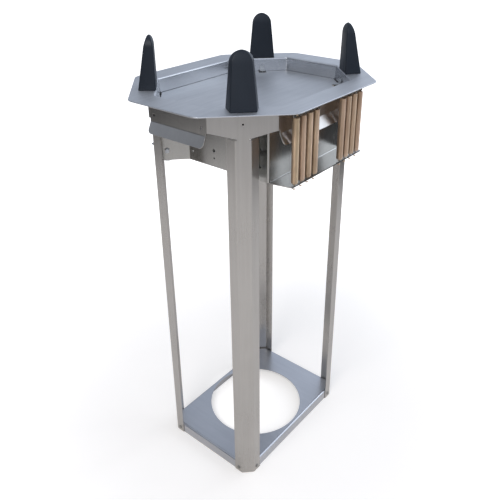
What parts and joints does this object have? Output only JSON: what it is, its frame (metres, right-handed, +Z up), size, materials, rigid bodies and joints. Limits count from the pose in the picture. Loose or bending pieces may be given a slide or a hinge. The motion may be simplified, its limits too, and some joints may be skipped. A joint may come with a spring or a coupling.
{
  "type": "drop-in plate dispenser",
  "caption": "Self-levelling plate dispenser: long octagonal rim with plate guides on bent sheet posts, a sprung platform in the throat, and a pierced base pan.",
  "frame": {"origin": "on the floor under the middle of the base", "axes": "+Z up, X along the rim's long side, Y along its short side; the picture looks from -X and -Y"},
  "size_m": [0.421, 0.338, 0.805],
  "materials": {
    "deck_steel": "satin, cool grey, faint grain",
    "frame_steel": "satin, warm grey bent sheet",
    "bracket_steel": "satin bent sheet",
    "guide_plastic": "near-black with a soft sheen",
    "roller_nylon": "off-white nylon",
    "spring_wire": "oil-tempered brown wire",
    "fasteners": "zinc plated"
  },
  "bodies": {
    "frame": {"deck_top": "deck_steel", "base_pan": "deck_steel", "guide_front_left": "guide_plastic", "guide_front_right": "guide_plastic", "guide_rear_left": "guide_plastic", "guide_rear_right": "guide_plastic", "guide_screws": "fasteners", "base_rivets": "fasteners", "stop_clips": "fasteners", "post_front_left": "frame_steel", "post_front_right": "frame_steel", "post_rear_left": "frame_steel", "post_rear_right": "frame_steel", "skirt_left": "frame_steel", "skirt_right": "frame_steel", "skirt_front": "frame_steel", "skirt_rear": "frame_steel", "rail_front_left": "bracket_steel", "rail_front_right": "bracket_steel", "rail_rear_left": "bracket_steel", "rail_rear_right": "bracket_steel", "spring_front_1": "spring_wire", "spring_front_2": "spring_wire", "spring_front_3": "spring_wire", "spring_front_4": "spring_wire", "spring_front_5": "spring_wire", "spring_front_6": "spring_wire", "spring_front_7": "spring_wire", "spring_front_8": "spring_wire", "spring_rear_1": "spring_wire", "spring_rear_2": "spring_wire", "spring_rear_3": "spring_wire", "spring_rear_4": "spring_wire", "spring_rear_5": "spring_wire", "spring_rear_6": "spring_wire", "spring_rear_7": "spring_wire", "spring_rear_8": "spring_wire"},
    "carriage": {"platform": "deck_steel", "end_bracket_left": "bracket_steel", "end_bracket_right": "bracket_steel", "spring_bracket_front": "bracket_steel", "spring_bracket_rear": "bracket_steel", "roller_bolts": "fasteners", "roller_nuts": "fasteners"},
    "roller_front_left_lower": {"roller_front_left_lower": "roller_nylon"},
    "roller_front_left_upper": {"roller_front_left_upper": "roller_nylon"},
    "roller_front_right_lower": {"roller_front_right_lower": "roller_nylon"},
    "roller_front_right_upper": {"roller_front_right_upper": "roller_nylon"},
    "roller_rear_left_lower": {"roller_rear_left_lower": "roller_nylon"},
    "roller_rear_left_upper": {"roller_rear_left_upper": "roller_nylon"},
    "roller_rear_right_lower": {"roller_rear_right_lower": "roller_nylon"},
    "roller_rear_right_upper": {"roller_rear_right_upper": "roller_nylon"}
  },
  "joints": [
    {"name": "carriage_lift", "type": "slide", "parent": "frame", "child": "carriage", "axis": [0, 0, -1], "range_m": [0, 0.5], "stiffness_N_per_m": 500, "springref_m": -0.15, "deforming": ["spring_front_1", "spring_front_2", "spring_front_3", "spring_front_4", "spring_front_5", "spring_front_6", "spring_front_7", "spring_front_8", "spring_rear_1", "spring_rear_2", "spring_rear_3", "spring_rear_4", "spring_rear_5", "spring_rear_6", "spring_rear_7", "spring_rear_8"]},
    {"name": "roller_front_left_lower_spin", "type": "hinge", "parent": "carriage", "child": "roller_front_left_lower", "pos_m": [-0.12704, -0.08204, 0.617], "axis": [-0.7071, 0.7071, 0], "continuous": true},
    {"name": "roller_front_left_upper_spin", "type": "hinge", "parent": "carriage", "child": "roller_front_left_upper", "pos_m": [-0.12704, -0.08204, 0.663], "axis": [-0.7071, 0.7071, 0], "continuous": true},
    {"name": "roller_front_right_lower_spin", "type": "hinge", "parent": "carriage", "child": "roller_front_right_lower", "pos_m": [0.12704, -0.08204, 0.617], "axis": [-0.7071, -0.7071, 0], "continuous": true},
    {"name": "roller_front_right_upper_spin", "type": "hinge", "parent": "carriage", "child": "roller_front_right_upper", "pos_m": [0.12704, -0.08204, 0.663], "axis": [-0.7071, -0.7071, 0], "continuous": true},
    {"name": "roller_rear_left_lower_spin", "type": "hinge", "parent": "carriage", "child": "roller_rear_left_lower", "pos_m": [-0.12704, 0.08204, 0.617], "axis": [0.7071, 0.7071, 0], "continuous": true},
    {"name": "roller_rear_left_upper_spin", "type": "hinge", "parent": "carriage", "child": "roller_rear_left_upper", "pos_m": [-0.12704, 0.08204, 0.663], "axis": [0.7071, 0.7071, 0], "continuous": true},
    {"name": "roller_rear_right_lower_spin", "type": "hinge", "parent": "carriage", "child": "roller_rear_right_lower", "pos_m": [0.12704, 0.08204, 0.617], "axis": [0.7071, -0.7071, 0], "continuous": true},
    {"name": "roller_rear_right_upper_spin", "type": "hinge", "parent": "carriage", "child": "roller_rear_right_upper", "pos_m": [0.12704, 0.08204, 0.663], "axis": [0.7071, -0.7071, 0], "continuous": true}
  ],
  "couplings": [
    {"joint": "roller_front_left_lower_spin", "follows": "carriage_lift", "rad_per_m": 52.632},
    {"joint": "roller_front_left_upper_spin", "follows": "carriage_lift", "rad_per_m": 52.632},
    {"joint": "roller_front_right_lower_spin", "follows": "carriage_lift", "rad_per_m": 52.632},
    {"joint": "roller_front_right_upper_spin", "follows": "carriage_lift", "rad_per_m": 52.632},
    {"joint": "roller_rear_left_lower_spin", "follows": "carriage_lift", "rad_per_m": 52.632},
    {"joint": "roller_rear_left_upper_spin", "follows": "carriage_lift", "rad_per_m": 52.632},
    {"joint": "roller_rear_right_lower_spin", "follows": "carriage_lift", "rad_per_m": 52.632},
    {"joint": "roller_rear_right_upper_spin", "follows": "carriage_lift", "rad_per_m": 52.632}
  ]
}
